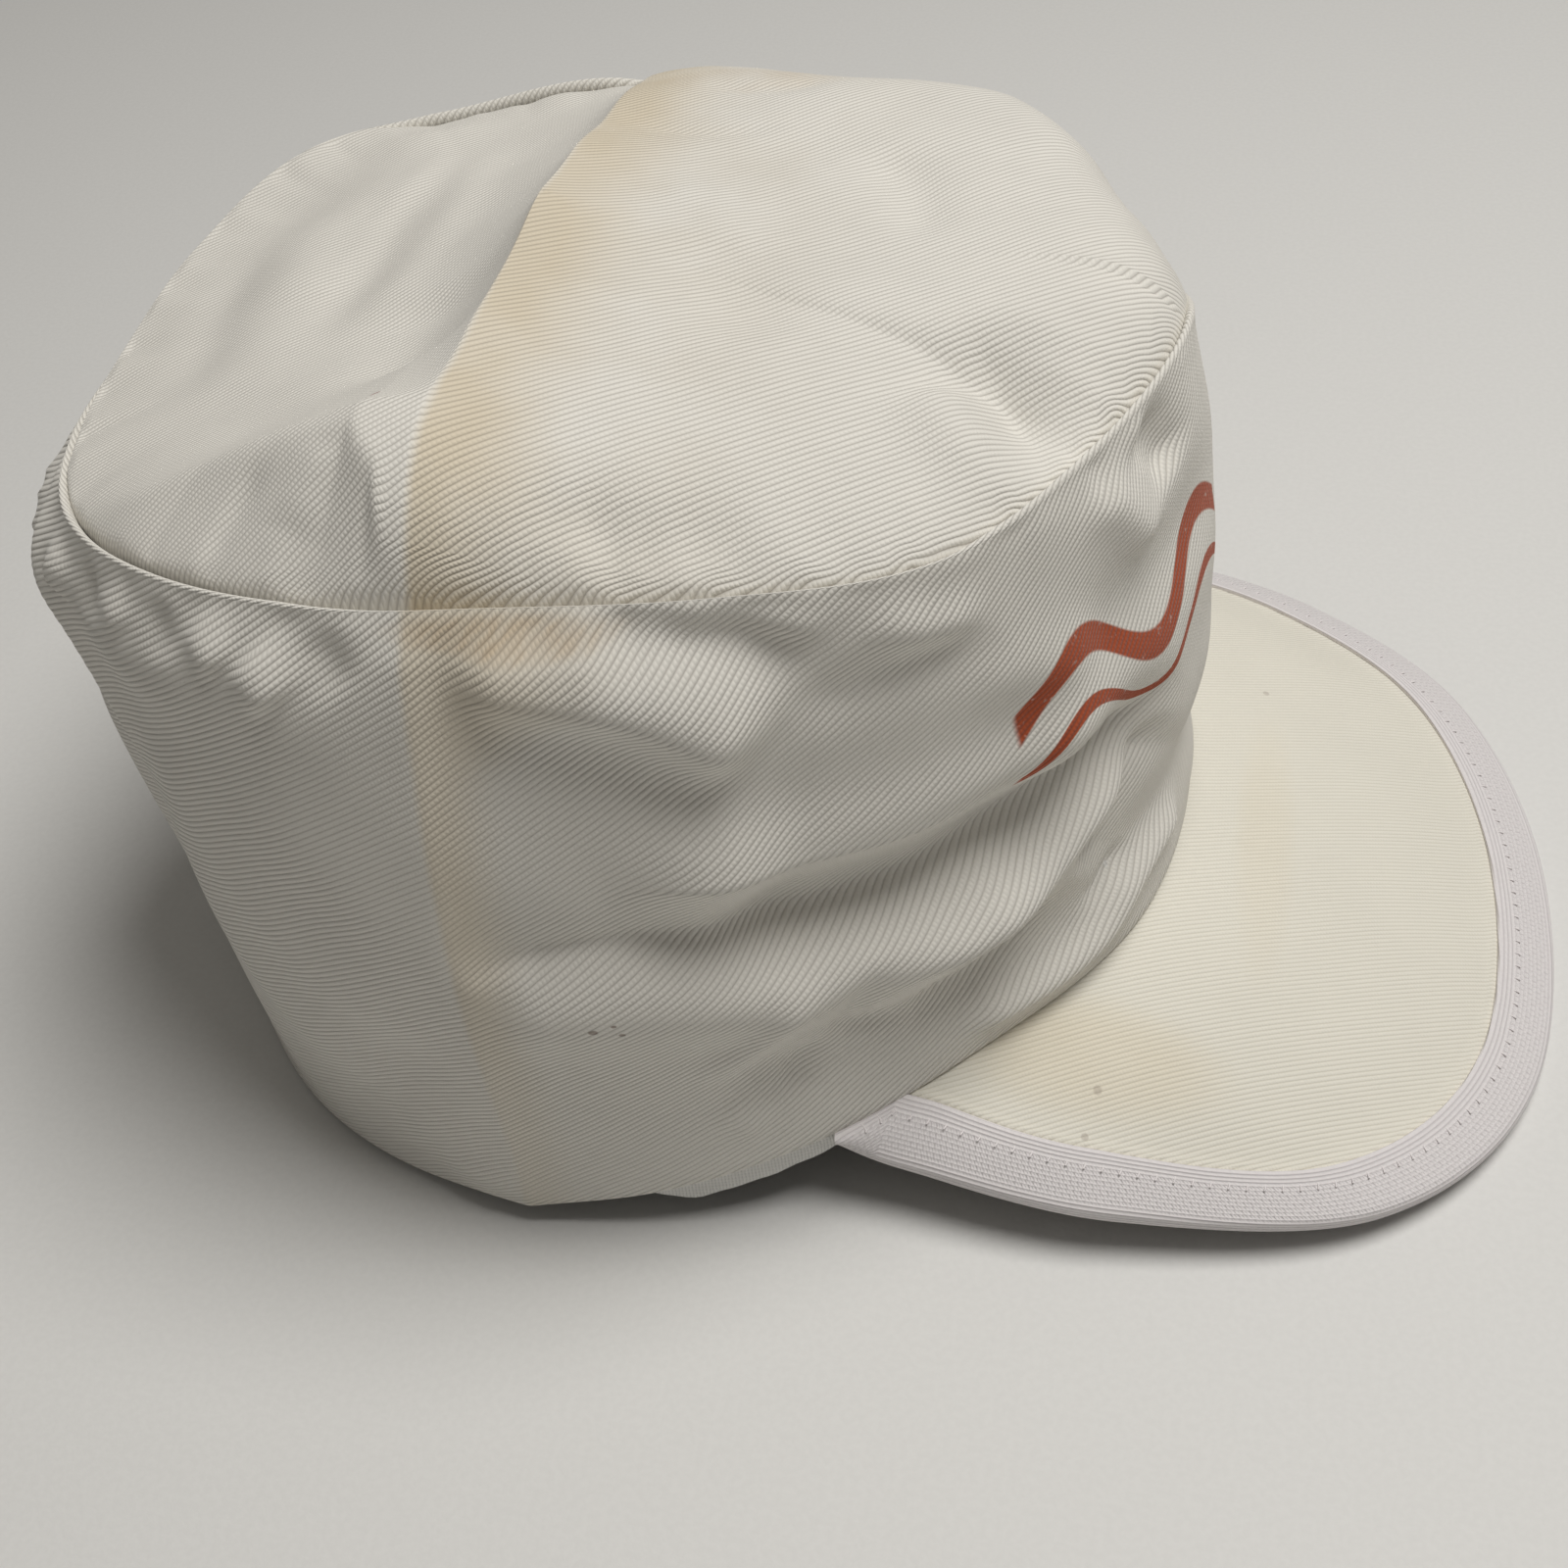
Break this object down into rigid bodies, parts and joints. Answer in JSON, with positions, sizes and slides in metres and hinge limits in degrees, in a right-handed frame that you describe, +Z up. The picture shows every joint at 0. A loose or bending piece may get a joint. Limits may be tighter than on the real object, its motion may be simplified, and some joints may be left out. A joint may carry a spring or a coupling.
{
  "type": "painter's cap",
  "caption": "Soft cap of white cotton twill with an upright side band, a flat-topped crown creased across from side to side and a curved, tape-bound peak.",
  "frame": {"origin": "under the middle of the cap's box, on the plane that the hem stands on", "axes": "+X to the front, over the peak; +Y to the wearer's left; +Z up through the crown"},
  "size_m": [0.2514, 0.1836, 0.1386],
  "materials": {
    "crown_twill": "matt, washed and a little stained",
    "peak_twill": "matt",
    "binding_tape": "ribbed weave with a faint sheen",
    "inner_tape": "matt"
  },
  "bodies": {
    "root": {"side_band": "crown_twill", "top_panel": "crown_twill", "peak": "peak_twill", "peak_binding": "binding_tape", "sweatband": "inner_tape"}
  },
  "joints": []
}
